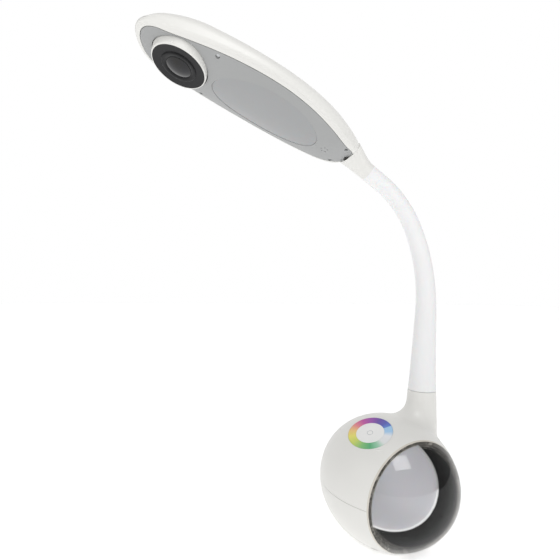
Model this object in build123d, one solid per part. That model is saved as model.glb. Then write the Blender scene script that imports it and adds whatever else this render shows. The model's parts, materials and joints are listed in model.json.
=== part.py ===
from build123d import *
import os
from math import cos, radians, sin, sqrt, tan

# A desk document camera: a ball-shaped weighted base with a night-light dome on its +X side,
# a bendable neck, and a flat leaf-shaped head that carries a camera and a work light.
# Millimetres, +Z up. The origin is the centre of the foot. The head reaches towards -Y.

# ---------- general fits ----------
FIT = 0.2  # gap between pieces of one body that are put together
RUN = 0.4  # gap between pieces that move past each other
WALL = 2.4  # moulded wall

# ---------- base ----------
BALL_R = 60.0
FLAT_DEPTH = 10.0  # how much of the ball the flat foot takes off
SEAM_DROP = 2.0  # parting line of the two shells, under the ball's centre
SEAM_GROOVE, SEAM_GROOVE_DEPTH = 0.3, 0.8  # shadow line at the parting line
FOOT_H = 1.2  # how far the rubber foot stands proud of the shell
FLOOR_T = 4.0  # thickness of the flat floor inside
FOOT_EDGE, FOOT_RING_W, FOOT_RING_T = 2.9, 9.0, 2.5  # rubber ring, in from the flat's edge
POST_OUT, POST_TURN = 7.2, 52.3  # screw posts outside the rubber ring, degrees from +X
POST_DROP = 20.0  # top of the posts under the ball's centre
POST_R, BOSS_R = 4.0, 3.5
BALLAST_FILL = 0.42  # share of the ball's centre height that the weight fills
SCREW_R, SCREW_HEAD_R, SCREW_HEAD_T = 1.25, 2.6, 2.0

# ---------- night light ----------
DOME_X = 35.1  # plane where the clear dome starts
RIM_T = 1.2  # width of the trim ring
RIM_STEP = 6.0  # the trim ring reaches in from the dome's edge
DOME_WALL = 2.0
DIFFUSER_STEP, DIFFUSER_H, DIFFUSER_T = 3.2, 17.0, 1.6
TRAY_T, TRAY_STEP = 2.0, 1.9
NIGHT_BOARD_STEP, NIGHT_LED_STEP = 16.7, 10.0
BOARD_T = 1.6
LED_SIZE, LED_T = 3.5, 1.4

# ---------- touch control ----------
TOUCH_TILT, TOUCH_TURN = 28.5, 15.0  # degrees from vertical, and from -Y towards +X
TOUCH_R, TOUCH_INNER_R, TOUCH_T = 19.0, 12.0, 1.6
TOUCH_SEAT_T = 1.2  # floor left under the touch pieces
TOUCH_BOARD_STEP = 5.0

# ---------- neck ----------
NECK_BACK = 21.8  # neck's axis in front of the ball's back
STUB_H, STUB_R, STUB_FLARE = 21.0, 12.2, 16.0  # stub above the ball's top
STUB_FOOT_R = 16.0  # the stub widens towards the ball
JOINT_RISE = 1.6  # first bend centre above the stub
STRAIGHT_L = 75.0  # upright part of the neck
LEAN_1_R, LEAN_1_DEG = 143.0, 32.0
LEAN_2_R, LEAN_2_DEG = 87.0, 62.0
NECK_TAIL = 17.0  # straight run before the collar
LINKS = 8
SLEEVE_END_R, SLEEVE_SWELL, SLEEVE_POWER = 6.6, 5.4, 2.2
HOSE_R, HOSE_BORE_R = 4.2, 2.2
BEND_DEG = (12, 12, 12, 12, 12, 12, 18, 12, 18)  # largest bend at each joint
ANCHOR_R, ANCHOR_FLANGE_R, ANCHOR_FLANGE_T = 6.5, 9.8, 3.0
ANCHOR_DEPTH = 15.0  # seat of the anchor under the stub's top
ANCHOR_SCREW_X = 8.2

# ---------- head, in its own frame: u to the tip, w to +X, n up from the underside ----------
NECK_END_U, NECK_END_N = -165.0, -1.6  # where the neck ends, from the camera's middle
HEAD_RISE = 18.8  # degrees that the tip points up
TIP_R, TIP_U = 21.5, 10.5
TAIL_R, TAIL_U = 17.0, -130.0
WIDE_HALF, WIDE_U = 32.0, -62.0
CROWN_DROP, CROWN_R = 4.0, 75.0  # depth and curve across of the domed underside
CROWN_TIP_U, CROWN_TIP_R = -6.0, 130.0  # curve that lifts the underside at the tip
CROWN_TAIL_U, CROWN_TAIL_R = -112.0, 110.0  # and at the tail
HEAD_WALL = 2.0
LIP_W = 3.6  # the upper shell's edge, seen from below
TOP_N, TOP_FILLET = 15.0, 9.5
TOP_TIP_U, TOP_TIP_R = -10.0, 75.0  # the top falls away towards the tip
TOP_TAIL_U, TOP_TAIL_R = -90.0, 320.0  # and towards the neck
COVER_T = 2.0
COLLAR_END_R, COLLAR_L = 7.0, 24.0  # round end on the neck, and length to the head
COLLAR_HALF_W, COLLAR_HALF_N, COLLAR_LIFT = 12.7, 7.2, 2.5  # oval end in the head
PLUG_R, PLUG_L, FERRULE_L = 5.6, 10.0, 9.0
PANEL_U, PANEL_HALF_L, PANEL_HALF_W = -67.0, 43.0, 21.5
LIGHT_BOARD_N, LIGHT_LED_ROWS, LIGHT_LED_COLUMNS = 3.4, 2, 8
HEAD_SCREWS = ((-20.0, 22.0), (-132.5, 11.0))  # u, and w on both sides
SCREW_BOSS_R = 3.0
MIC_U, MIC_R, MIC_RING_R, MIC_HOLE_R = -119.5, 3.2, 2.6, 0.5

# ---------- camera ----------
RING_R, RING_TAPER, RING_H, RING_WALL = 19.4, 0.4, 6.2, 2.4
RING_IN_N = 4.0  # how far the ring reaches into the head
GRIP_W, GRIP_OUT = 1.6, 0.9  # the grips stop short of the domed underside
GRIP_TURN = 66.0
BEZEL_T = 1.6
WINDOW_R, WINDOW_BULGE = 8.5, 2.2
MOUNT_PLATE_R, MOUNT_T = 20.5, 1.6
BARREL_R, BARREL_L, BARREL_TRAVEL = 6.5, 9.0, 0.5
SENSOR = 8.0
CAMERA_BOARD = 24.0

# ---------- power and data socket at the back ----------
SOCKET_W, SOCKET_H, SOCKET_L, SOCKET_WALL = 9.0, 3.3, 8.0, 0.35
SOCKET_INSET = 0.5
BOARD_X, BOARD_Y, BOARD_TONGUE = 18.0, 25.0, 7.0
STANDOFF_H, STANDOFF_R = 3.4, 2.2
CHIP_T = 1.2
CABLE_R = 1.3

BALL_Z = BALL_R - FLAT_DEPTH
SEAM_Z = BALL_Z - SEAM_DROP
INNER_R = BALL_R - WALL
FOOT_RING_OUT = sqrt(BALL_R**2 - (BALL_Z - FOOT_H) ** 2) - FOOT_EDGE
FOOT_RING_IN = FOOT_RING_OUT - FOOT_RING_W
POST_X = (FOOT_RING_OUT + POST_OUT) * cos(radians(POST_TURN))
POST_Y = (FOOT_RING_OUT + POST_OUT) * sin(radians(POST_TURN))
POST_Z = BALL_Z - POST_DROP
FLOOR_Z = FOOT_H + FLOOR_T
BALLAST_TOP = FLOOR_Z + BALLAST_FILL * BALL_Z
BOARD_Z = BALLAST_TOP + STANDOFF_H
OPENING_R = sqrt(BALL_R**2 - DOME_X**2)  # the ball's edge where the dome starts
RIM_IN_R = OPENING_R - RIM_STEP
DIFFUSER_R = OPENING_R - DIFFUSER_STEP
TRAY_R = OPENING_R - TRAY_STEP
NIGHT_BOARD_R = OPENING_R - NIGHT_BOARD_STEP
NIGHT_LED_R = NIGHT_BOARD_R - NIGHT_LED_STEP
TOUCH_BOARD_R = TOUCH_R - TOUCH_BOARD_STEP
NECK_Y = BALL_R - NECK_BACK
STUB_TOP_Z = BALL_Z + BALL_R + STUB_H
STRAIGHT_Z = STUB_TOP_Z + STRAIGHT_L
ANCHOR_SEAT_Z = STUB_TOP_Z - ANCHOR_DEPTH
RIM_N = CROWN_R - CROWN_DROP - sqrt(CROWN_R**2 - WIDE_HALF**2)  # the underside's edge
SHELL_X = DOME_X - RIM_T
TRAY_X = SHELL_X - TRAY_T
FAR = 200.0  # larger than the half of any piece
SPHERE_SEAM_DEG = 40.0


# ---------- helpers ----------
def cylinder(radius, low, high, x=0.0, y=0.0):
    """An upright cylinder between two heights."""
    return Pos(x, y, (low + high) / 2) * Cylinder(radius, high - low)


def tube(outer, inner, low, high):
    return cylinder(outer, low, high) - cylinder(inner, low - 1, high + 1)


def box(x0, x1, y0, y1, z0, z1):
    return Pos((x0 + x1) / 2, (y0 + y1) / 2, (z0 + z1) / 2) * Box(x1 - x0, y1 - y0, z1 - z0)


def ball(radius, x=0.0):
    """A sphere at the ball's height, turned so that its poles lie on the night light's axis."""
    return Pos(x, 0, BALL_Z) * Rot(SPHERE_SEAM_DEG, 0, 0) * Rot(0, 90, 0) * Sphere(radius)


def group(solids):
    """Separate identical solids as one shape."""
    return Compound(children=[s for piece in solids for s in piece.solids()])


def rod(start, direction, length, radius, end_radius=None):
    """A cylinder or cone from a point along a direction."""
    place = Plane(origin=start, z_dir=direction)
    upright = (Align.CENTER, Align.CENTER, Align.MIN)
    if end_radius is None or abs(end_radius - radius) < 1e-6:
        return place * Cylinder(radius, length, align=upright)
    return place * Cone(radius, end_radius, length, align=upright)


def screw(x, y, head_low, length, radius=SCREW_R, head_r=SCREW_HEAD_R, head_t=SCREW_HEAD_T):
    """An upright screw with its head at the bottom and a hexagon recess."""
    body = cylinder(head_r, head_low, head_low + head_t, x, y)
    body += cylinder(radius, head_low + head_t, head_low + head_t + length, x, y)
    recess = extrude(Pos(x, y, head_low) * RegularPolygon(head_r * 0.5, 6), head_t * 0.6)
    return body - recess


def cable(points, radius=CABLE_R):
    """Straight runs joined by tangent arcs, each as large as its two runs allow."""
    points = [Vector(*p) for p in points]
    runs = [b - a for a, b in zip(points, points[1:])]
    radii = []
    for a, b in zip(runs, runs[1:]):
        turn = radians(a.get_angle(b))
        radii.append(0.45 * min(a.length, b.length) / tan(turn / 2))
    path = FilletPolyline(*points, radius=radii)
    return sweep(Plane(origin=path @ 0, z_dir=path % 0) * Circle(radius), path=path)


# ---------- neck centreline ----------
def neck_point(s):
    """Place and lean, in degrees from vertical, at a distance along the neck."""
    rise = STRAIGHT_Z - STUB_TOP_Z - JOINT_RISE
    lean_1 = radians(LEAN_1_DEG)
    lean_2 = radians(LEAN_2_DEG)
    arc_1 = LEAN_1_R * lean_1
    arc_2 = LEAN_2_R * (lean_2 - lean_1)
    start = Vector(0, NECK_Y, STUB_TOP_Z + JOINT_RISE)
    if s <= rise:
        return start + Vector(0, 0, s), 0.0
    s -= rise
    a = min(s / LEAN_1_R, lean_1)
    point = start + Vector(0, -LEAN_1_R * (1 - cos(a)), rise + LEAN_1_R * sin(a))
    if s <= arc_1:
        return point, a
    s -= arc_1
    a = min(lean_1 + s / LEAN_2_R, lean_2)
    point += Vector(0, -LEAN_2_R * (cos(lean_1) - cos(a)), LEAN_2_R * (sin(a) - sin(lean_1)))
    if s <= arc_2:
        return point, a
    return point + Vector(0, -sin(a), cos(a)) * (s - arc_2), a


def neck_length():
    lean_1, lean_2 = radians(LEAN_1_DEG), radians(LEAN_2_DEG)
    rise = STRAIGHT_Z - STUB_TOP_Z - JOINT_RISE
    return rise + LEAN_1_R * lean_1 + LEAN_2_R * (lean_2 - lean_1) + NECK_TAIL


def bend_centres():
    """The bend centres from the stub to the head, one more than there are links."""
    return [neck_point(neck_length() * i / LINKS)[0] for i in range(LINKS + 1)]


def sleeve_radius(i):
    """Radius of the tapered sleeve at a bend centre."""
    return SLEEVE_END_R + SLEEVE_SWELL * (1 - i / LINKS) ** SLEEVE_POWER


def link_way(i):
    """Direction of a link; the ones before the first and after the last are the neck's ends."""
    if i < 0:
        return Vector(0, 0, 1)
    if i == LINKS:
        return neck_end_direction()
    start, end = bend_centres()[i : i + 2]
    return (end - start).normalized()


def sleeve_gap(i):
    """Half the gap that lets the sleeve's ends tilt towards each other."""
    at_rest = link_way(i - 1).get_angle(link_way(i))
    return sleeve_radius(i) * tan(radians((at_rest + BEND_DEG[i]) / 2)) + RUN


def neck_end_direction():
    lean = radians(LEAN_2_DEG)
    return Vector(0, -sin(lean), cos(lean))


# ---------- base ----------
def stub_ball():
    """The outer form of the upper shell: the ball with the neck stub growing out of it."""
    foot = Vector(0, NECK_Y, BALL_Z + BALL_R / 3)
    body = ball(BALL_R) + rod(foot, Vector(0, 0, 1), STUB_TOP_Z - foot.Z, STUB_FOOT_R, STUB_R)
    joints = [e for e in body.edges() if e.geom_type not in (GeomType.CIRCLE, GeomType.LINE)]
    join = max(joints, key=lambda e: e.bounding_box().size.Z)
    return fillet(join, STUB_FLARE)


def touch_plane():
    """The flat seat cut in the ball for the touch control; its Z points outwards."""
    tilt, turn = radians(TOUCH_TILT), radians(TOUCH_TURN)
    out = Vector(sin(tilt) * sin(turn), -sin(tilt) * cos(turn), cos(tilt))
    height = sqrt(BALL_R**2 - (TOUCH_R + FIT) ** 2)
    return Plane(origin=Vector(0, 0, BALL_Z) + out * height, z_dir=out)


def posts():
    return [(x, y) for x in (-POST_X, POST_X) for y in (-POST_Y, POST_Y)]


def base_upper_shell():
    place = touch_plane()
    inside = ball(INNER_R) - place * cylinder(FAR, -TOUCH_T - TOUCH_SEAT_T, FAR)
    stub_room = cylinder(ANCHOR_FLANGE_R + FIT, BALL_Z, ANCHOR_SEAT_Z, 0, NECK_Y)
    stub_room += cylinder(ANCHOR_R + FIT, ANCHOR_SEAT_Z, STUB_TOP_Z + 1, 0, NECK_Y)
    shell = stub_ball() - inside - stub_room
    for x, y in posts():
        shell += cylinder(BOSS_R, POST_Z, BALL_Z + sqrt(INNER_R**2 - x**2 - y**2) + 1, x, y)
        shell -= cylinder(SCREW_R + FIT / 4, 0, POST_Z + 14, x, y)
    shell -= place * cylinder(TOUCH_R + FIT, -TOUCH_T, FAR)
    shell -= place * cylinder(TOUCH_INNER_R / 2, -TOUCH_T - TOUCH_SEAT_T - 1, 0)
    for side in (-1, 1):
        x = side * ANCHOR_SCREW_X
        shell -= cylinder(0.8 + FIT / 4, ANCHOR_SEAT_Z - 1, ANCHOR_SEAT_Z + 7, x, NECK_Y)
    bosses = [cylinder(BOSS_R, POST_Z, SEAM_Z, x, y) for x, y in posts()]
    kept = box(-FAR, SHELL_X, -FAR, FAR, SEAM_Z, FAR)
    for boss in bosses:
        kept += boss
    return shell & kept


def socket_z():
    return BOARD_Z + BOARD_T + SOCKET_H / 2


def socket_mouth_y():
    return sqrt(BALL_R**2 - (socket_z() - BALL_Z) ** 2) - SOCKET_INSET


def socket_form(grow, low_y, high_y):
    """The rounded slot of the power and data socket between two depths."""
    face = SlotOverall(SOCKET_W + 2 * grow, SOCKET_H + 2 * grow)
    place = Plane(origin=(0, high_y, socket_z()), x_dir=(1, 0, 0), z_dir=(0, -1, 0))
    return extrude(place * face, high_y - low_y)


def base_lower_shell():
    shell = ball(BALL_R)
    inside = ball(INNER_R) & box(-FAR, FAR, -FAR, FAR, FLOOR_Z, FAR)
    columns = Part()
    for x, y in posts():
        columns += cylinder(POST_R, 0, POST_Z, x, y)
    shell = (shell - inside) + (columns & ball(BALL_R))
    for x, y in posts():
        shell -= cylinder(SCREW_HEAD_R + FIT, -1, POST_Z - 6, x, y)
        shell -= cylinder(SCREW_R + FIT, POST_Z - 7, POST_Z + 1, x, y)
    shell -= tube(FOOT_RING_OUT + FIT, FOOT_RING_IN - FIT, -1, FOOT_RING_T)
    for y in ballast_screw_y():
        shell -= cylinder(SCREW_HEAD_R + FIT, -1, FOOT_H + SCREW_HEAD_T, 0, y)
        shell -= cylinder(SCREW_R + FIT, 0, FLOOR_Z + 1, 0, y)
    shell -= socket_form(FIT, 40, FAR)
    shell -= tube(FAR, BALL_R - SEAM_GROOVE_DEPTH, SEAM_Z - SEAM_GROOVE, SEAM_Z + 1)
    return shell & box(-FAR, SHELL_X, -FAR, FAR, FOOT_H, SEAM_Z)


def ballast_screw_y():
    return (-14.0, 14.0)


def ballast_weight():
    weight = ball(INNER_R - FIT) & box(-FAR, TRAY_X - 1, -FAR, FAR, FLOOR_Z, BALLAST_TOP)
    for x, y in posts():
        weight -= cylinder(POST_R + FIT, 0, FAR, x, y)
    for y in ballast_screw_y():
        weight -= cylinder(SCREW_R + FIT / 4, 0, FLOOR_Z + 11, 0, y)
    return weight


def foot_ring():
    return tube(FOOT_RING_OUT, FOOT_RING_IN, 0, FOOT_RING_T)


def shell_screws():
    return group(screw(x, y, POST_Z - 6 - SCREW_HEAD_T, 18) for x, y in posts())


def ballast_screws():
    return group(screw(0, y, FOOT_H, FLOOR_T - SCREW_HEAD_T + 9) for y in ballast_screw_y())


# ---------- touch control ----------
def touch_ring():
    return touch_plane() * tube(TOUCH_R, TOUCH_INNER_R + FIT / 2, -TOUCH_T, 0)


def touch_disc():
    return touch_plane() * cylinder(TOUCH_INNER_R, -TOUCH_T, 0)


def touch_board():
    top = -TOUCH_T - TOUCH_SEAT_T - FIT
    return touch_plane() * cylinder(TOUCH_BOARD_R, top - BOARD_T, top)


# ---------- electronics in the base ----------
def standoff_places():
    return [(x, y) for x in (4 - BOARD_X, BOARD_X - 4) for y in (4 - BOARD_Y, BOARD_Y - 4)]


def main_board():
    board = box(-BOARD_X, BOARD_X, -BOARD_Y, BOARD_Y, BOARD_Z, BOARD_Z + BOARD_T)
    tongue_end = socket_mouth_y() - SOCKET_L + 3
    board += box(-BOARD_TONGUE, BOARD_TONGUE, 0, tongue_end, BOARD_Z, BOARD_Z + BOARD_T)
    board += box(-5, 5, -5, 5, BOARD_Z + BOARD_T, BOARD_Z + BOARD_T + CHIP_T)
    for x, y in standoff_places():
        board -= cylinder(SCREW_R + FIT, BOARD_Z - 1, BOARD_Z + BOARD_T + 1, x, y)
    return board


def board_standoffs():
    posts_here = [cylinder(STANDOFF_R, BALLAST_TOP, BOARD_Z, x, y) for x, y in standoff_places()]
    holes = [cylinder(SCREW_R, BALLAST_TOP, BOARD_Z + 1, x, y) for x, y in standoff_places()]
    return group(p - h for p, h in zip(posts_here, holes))


def board_screws():
    solids = []
    for x, y in standoff_places():
        turned = screw(0, 0, 0, BOARD_T + 2.4, SCREW_R - FIT / 4, 2.2, 1.4)
        head_top = BOARD_Z + BOARD_T + 1.4
        solids.append(Pos(x, y, head_top) * Rot(180, 0, 0) * turned)
    return group(solids)


def board_connectors():
    top = BOARD_Z + BOARD_T
    return group(box(x - 3, x + 3, y - 2, y + 2, top, top + 4) for x, y in connector_places())


def connector_places():
    return [(10.0, -12.0), (12.0, 8.0), (-10.0, 16.0)]


def usb_socket():
    mouth = socket_mouth_y()
    shell = socket_form(0, mouth - SOCKET_L, mouth)
    shell -= socket_form(-SOCKET_WALL, mouth - SOCKET_L + 1.5, mouth + 1)
    tongue = box(-3.3, 3.3, mouth - SOCKET_L + 1, mouth - 1.2, socket_z() - 0.35, socket_z() + 0.35)
    return shell + tongue


def connector_top(i):
    x, y = connector_places()[i]
    return Vector(x, y, BOARD_Z + BOARD_T + 4)


def touch_cable():
    place = touch_plane()
    start = place.from_local_coords((0, 0, -TOUCH_T - TOUCH_SEAT_T - FIT - BOARD_T))
    end = connector_top(0)
    return cable([start, start - place.z_dir * 22, end + Vector(0, 0, 22), end])


def nightlight_cable():
    start = Vector(TRAY_X, 0, BALL_Z)
    end = connector_top(1)
    return cable([start, start - Vector(9, 0, 0), end + Vector(0, 0, 9), end], 1.0)


def neck_cable():
    """The lower end of the wires that run up the neck."""
    start = Vector(0, NECK_Y, ANCHOR_SEAT_Z - ANCHOR_FLANGE_T - 1)
    end = connector_top(2)
    return cable([start, start - Vector(0, 0, 25), end + Vector(0, 0, 25), end], 1.6)


# ---------- night light ----------
def dome_rim():
    slab = box(SHELL_X, DOME_X, -FAR, FAR, -FAR, FAR)
    ring = ball(BALL_R) & slab
    return ring - Pos(DOME_X, 0, BALL_Z) * Rot(0, 90, 0) * Cylinder(RIM_IN_R, 20)


def dome_cover():
    shell = ball(BALL_R) - ball(BALL_R - DOME_WALL)
    return shell & box(DOME_X, FAR, -FAR, FAR, -FAR, FAR)


def dome_diffuser():
    radius = (DIFFUSER_R**2 + DIFFUSER_H**2) / (2 * DIFFUSER_H)
    centre = DOME_X + DIFFUSER_H - radius
    shell = ball(radius, centre) - ball(radius - DIFFUSER_T, centre)
    return shell & box(DOME_X, FAR, -FAR, FAR, -FAR, FAR)


def along_x(radius, low, high, y=0.0, z=0.0):
    return Pos((low + high) / 2, y, BALL_Z + z) * Rot(0, 90, 0) * Cylinder(radius, high - low)


def nightlight_tray():
    disc = along_x(TRAY_R, TRAY_X, SHELL_X) & ball(INNER_R - FIT)
    return disc & box(-FAR, FAR, -FAR, FAR, FLOOR_Z + FIT, FAR)


def nightlight_board():
    return along_x(NIGHT_BOARD_R, SHELL_X, SHELL_X + BOARD_T)


def nightlight_leds():
    front = SHELL_X + BOARD_T
    solids = []
    for i in range(8):
        angle = radians(45 * i)
        y, z = NIGHT_LED_R * cos(angle), NIGHT_LED_R * sin(angle)
        solids.append(Pos(front + LED_T / 2, y, BALL_Z + z) * Box(LED_T, LED_SIZE, LED_SIZE))
    return group(solids)


# ---------- neck ----------
def neck_anchor():
    first = bend_centres()[0]
    low = ANCHOR_SEAT_Z - ANCHOR_FLANGE_T
    body = cylinder(ANCHOR_R, low, STUB_TOP_Z - FIT, 0, NECK_Y)
    body += cylinder(ANCHOR_FLANGE_R, low, ANCHOR_SEAT_Z, 0, NECK_Y)
    body -= cylinder(HOSE_BORE_R, low - 1, STUB_TOP_Z, 0, NECK_Y)
    for side in (-1, 1):
        body -= cylinder(0.8 + FIT / 4, low - 1, ANCHOR_SEAT_Z + 1, side * ANCHOR_SCREW_X, NECK_Y)
    return body - Pos(first) * Sphere(HOSE_R + RUN)


def anchor_screws():
    low = ANCHOR_SEAT_Z - ANCHOR_FLANGE_T - 1.2
    places = [side * ANCHOR_SCREW_X for side in (-1, 1)]
    return group(screw(x, NECK_Y, low, ANCHOR_FLANGE_T + 5, 0.8, 1.6, 1.2) for x in places)


def link_axis(i):
    start, end = bend_centres()[i : i + 2]
    return start, end, link_way(i)


def neck_hose(i):
    """A ball at the lower end of each link, and a cup at its upper end."""
    start, end, way = link_axis(i)
    length = (end - start).length
    body = rod(start, way, length, HOSE_R) + Pos(start) * Sphere(HOSE_R)
    body -= Pos(end) * Sphere(HOSE_R + RUN)
    return body - rod(start - way * FAR / 4, way, FAR / 2, HOSE_BORE_R)


def neck_sleeve(i):
    start, end, way = link_axis(i)
    length = (end - start).length
    low, high = sleeve_gap(i), sleeve_gap(i + 1)
    slope = (sleeve_radius(i + 1) - sleeve_radius(i)) / length
    low_r, high_r = sleeve_radius(i) + slope * low, sleeve_radius(i + 1) - slope * high
    body = rod(start + way * low, way, length - low - high, low_r, high_r)
    return body - rod(start, way, length, HOSE_R + FIT / 2)


def head_ferrule():
    """The end of the neck that is held in the collar."""
    start, way = bend_centres()[-1], neck_end_direction()
    body = rod(start, way, FERRULE_L, HOSE_R) + Pos(start) * Sphere(HOSE_R)
    return body - rod(start - way * 10, way, FERRULE_L + 20, HOSE_BORE_R)


# ---------- head ----------
def head_plane():
    rise = radians(HEAD_RISE)
    tip = Vector(0, -cos(rise), sin(rise))
    up = Vector(0, sin(rise), cos(rise))
    middle = bend_centres()[-1] - tip * NECK_END_U - up * NECK_END_N
    return Plane(origin=middle, x_dir=tip, z_dir=up)


def side_radius(length, end_r):
    """Radius of the arc that touches the widest line and an end circle from inside."""
    return (length**2 / (WIDE_HALF - end_r) + end_r + WIDE_HALF) / 2


def leaf(inset, low, high):
    """The head's leaf outline, moved in by inset, between two heights."""
    wide = WIDE_HALF - inset
    runs = []
    for end_u, full_r in ((TIP_U, TIP_R), (TAIL_U, TAIL_R)):
        big = side_radius(abs(end_u - WIDE_U), full_r) - inset
        end_r = full_r - inset
        centre = Vector(WIDE_U, wide - big)
        way = (Vector(end_u, 0) - centre).normalized()
        touch = centre + way * big
        middle = centre + (way + Vector(0, 1)).normalized() * big
        end = Vector(end_u + (end_r if end_u > WIDE_U else -end_r), 0)
        nose = (touch - Vector(end_u, 0)).normalized() + (end - Vector(end_u, 0)).normalized()
        runs.append(ThreePointArc(Vector(WIDE_U, wide), middle, touch))
        runs.append(ThreePointArc(touch, Vector(end_u, 0) + nose.normalized() * end_r, end))
    half = Curve() + runs
    face = make_face(half + mirror(half, about=Plane.XZ))
    return Pos(0, 0, low) * extrude(face, high - low)


def across(u, radius, low):
    """A cylinder across the head whose lowest line is at u."""
    return Pos(u, 0, low + radius) * Rot(90, 0, 0) * Cylinder(radius, 2 * FAR)


def crown(depth):
    """The domed underside, raised by a depth, as a solid above it."""
    low = depth - CROWN_DROP
    body = Pos(0, 0, CROWN_R - CROWN_DROP) * Rot(0, 90, 0) * Cylinder(CROWN_R - depth, 2 * FAR)
    ends = box(CROWN_TAIL_U, CROWN_TIP_U, -FAR, FAR, low, FAR)
    for u, radius in ((CROWN_TIP_U, CROWN_TIP_R), (CROWN_TAIL_U, CROWN_TAIL_R)):
        ends += across(u, radius, low)
    return body & ends


def top_form(depth):
    """Space under the head's top, which falls away towards both ends."""
    high = TOP_N - depth
    form = box(TOP_TAIL_U, TOP_TIP_U, -FAR, FAR, -FAR, high)
    for u, radius in ((TOP_TIP_U, TOP_TIP_R), (TOP_TAIL_U, TOP_TAIL_R)):
        form += across(u, radius, high - 2 * radius)
    return form


def collar_plane(distance, lift=0.0):
    """Across the neck's end direction, at a distance from the last bend; X is the head's width."""
    start, way = bend_centres()[-1], neck_end_direction()
    up = way.cross(Vector(1, 0, 0))
    up = up if up.Z > 0 else -up
    return Plane(origin=start + way * distance + up * lift, x_dir=(1, 0, 0), z_dir=way)


def collar_room():
    """What the collar takes out of the two shells, in the row's frame."""
    behind = collar_plane(COLLAR_L + FIT) * Pos(0, 0, -FAR / 2) * Box(FAR, FAR, FAR)
    plug = collar_plane(COLLAR_L, COLLAR_LIFT) * cylinder(PLUG_R + FIT, 0, PLUG_L + FIT)
    return behind + plug


def head_screw_places():
    return [(u, side * w) for u, w in HEAD_SCREWS for side in (-1, 1)]


def head_form(inset):
    """The closed head, moved in by inset on all sides."""
    body = leaf(inset, -CROWN_DROP, TOP_N - inset)
    top = body.faces().sort_by(Axis.Z)[-1]
    return fillet(top.edges(), TOP_FILLET - inset) & top_form(inset) & crown(inset)


def head_top_cover():
    cover = head_form(0) - head_form(HEAD_WALL)
    cover -= leaf(LIP_W, -CROWN_DROP - 1, RIM_N + COVER_T)
    for u, w in head_screw_places():
        boss = cylinder(SCREW_BOSS_R, 0, TOP_N, u, w) & crown(COVER_T + FIT)
        cover += boss & head_form(HEAD_WALL / 2)
        cover -= cylinder(SCREW_R, -CROWN_DROP, TOP_N - HEAD_WALL - 2, u, w)
    return head_plane() * cover - collar_room()


def head_bottom_cover():
    plate = leaf(LIP_W + RUN, -CROWN_DROP - 1, RIM_N + COVER_T)
    plate = (plate & crown(0)) - crown(COVER_T)
    plate -= cylinder(RING_R + RUN, -FAR, FAR)
    plate -= panel_form(FIT)
    for u, w in head_screw_places():
        plate -= cylinder(SCREW_R + FIT, -FAR, FAR, u, w)
    for i in range(5):
        angle = radians(72 * i)
        u = MIC_U + MIC_RING_R * cos(angle)
        w = MIC_RING_R * sin(angle)
        plate -= cylinder(MIC_HOLE_R, -FAR, FAR, u, w)
    return head_plane() * plate - collar_room()


def head_collar():
    """Round where it meets the sleeve, oval where it meets the head, with a plug inside."""
    gap = sleeve_gap(LINKS)
    oval = Ellipse(COLLAR_HALF_W, COLLAR_HALF_N)
    body = loft([
        collar_plane(gap) * Circle(COLLAR_END_R),
        collar_plane(COLLAR_L, COLLAR_LIFT) * oval,
    ])
    body += collar_plane(COLLAR_L, COLLAR_LIFT) * cylinder(PLUG_R, 0, PLUG_L)
    body -= collar_plane(0) * cylinder(HOSE_R + FIT / 2, -1, FERRULE_L + 1)
    return body - collar_plane(0) * cylinder(HOSE_BORE_R, 0, COLLAR_L + PLUG_L + 1)


def panel_form(grow):
    return Pos(PANEL_U, 0, 0) * extrude(
        Ellipse(PANEL_HALF_L + grow, PANEL_HALF_W + grow), 8, both=True
    )


def light_panel():
    return (panel_form(0) & crown(FIT)) - crown(COVER_T)


def light_board():
    shape = Ellipse(PANEL_HALF_L - 2, PANEL_HALF_W - 1)
    return Pos(PANEL_U, 0, LIGHT_BOARD_N) * extrude(shape, BOARD_T)


def light_leds():
    solids = []
    for row in range(LIGHT_LED_ROWS):
        for column in range(LIGHT_LED_COLUMNS):
            u = PANEL_U + (column - (LIGHT_LED_COLUMNS - 1) / 2) * 8.5
            w = (row - (LIGHT_LED_ROWS - 1) / 2) * 14
            low = LIGHT_BOARD_N - LED_T / 2
            solids.append(Pos(u, w, low) * Box(LED_SIZE, LED_SIZE, LED_T))
    return group(solids)


def head_screws():
    """Countersunk shanks, each sunk a little under the underside."""
    shanks = []
    for u, w in head_screw_places():
        shank = cylinder(SCREW_R - FIT / 4, -CROWN_DROP, TOP_N - HEAD_WALL - 3, u, w)
        shanks.append(shank & crown(COVER_T / 2))
    return group(shanks)


def microphone():
    base = COVER_T + FIT + 1.0
    return cylinder(MIC_R, base, base + 2.4, MIC_U, 0)


# ---------- camera ----------
def camera_ring():
    """The white focus ring, with two grip ridges."""
    body = Pos(0, 0, -RING_H) * Cone(
        RING_R - RING_TAPER, RING_R, RING_H, align=(Align.CENTER, Align.CENTER, Align.MIN)
    )
    body += cylinder(RING_R, 0, RING_IN_N)
    for side in (-1, 1):
        outer = RING_R + GRIP_OUT
        body += Rot(0, 0, GRIP_TURN) * box(
            *sorted((side * (RING_R - 1), side * outer)),
            -GRIP_W / 2, GRIP_W / 2, -RING_H, -CROWN_DROP - RUN,
        )
    body -= cylinder(RING_R - RING_WALL, -RING_H - 1, RING_IN_N + 1)
    return body - cylinder(bezel_r() + FIT / 4, -RING_H - 1, -RING_H + BEZEL_T)


def bezel_r():
    return RING_R - RING_TAPER - 0.45


def camera_bezel():
    disc = cylinder(bezel_r(), -RING_H, -RING_H + BEZEL_T)
    disc += tube(WINDOW_R + 3, WINDOW_R, -RING_H - 0.4, -RING_H)
    return disc - cylinder(WINDOW_R, -RING_H - 1, 0)


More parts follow.
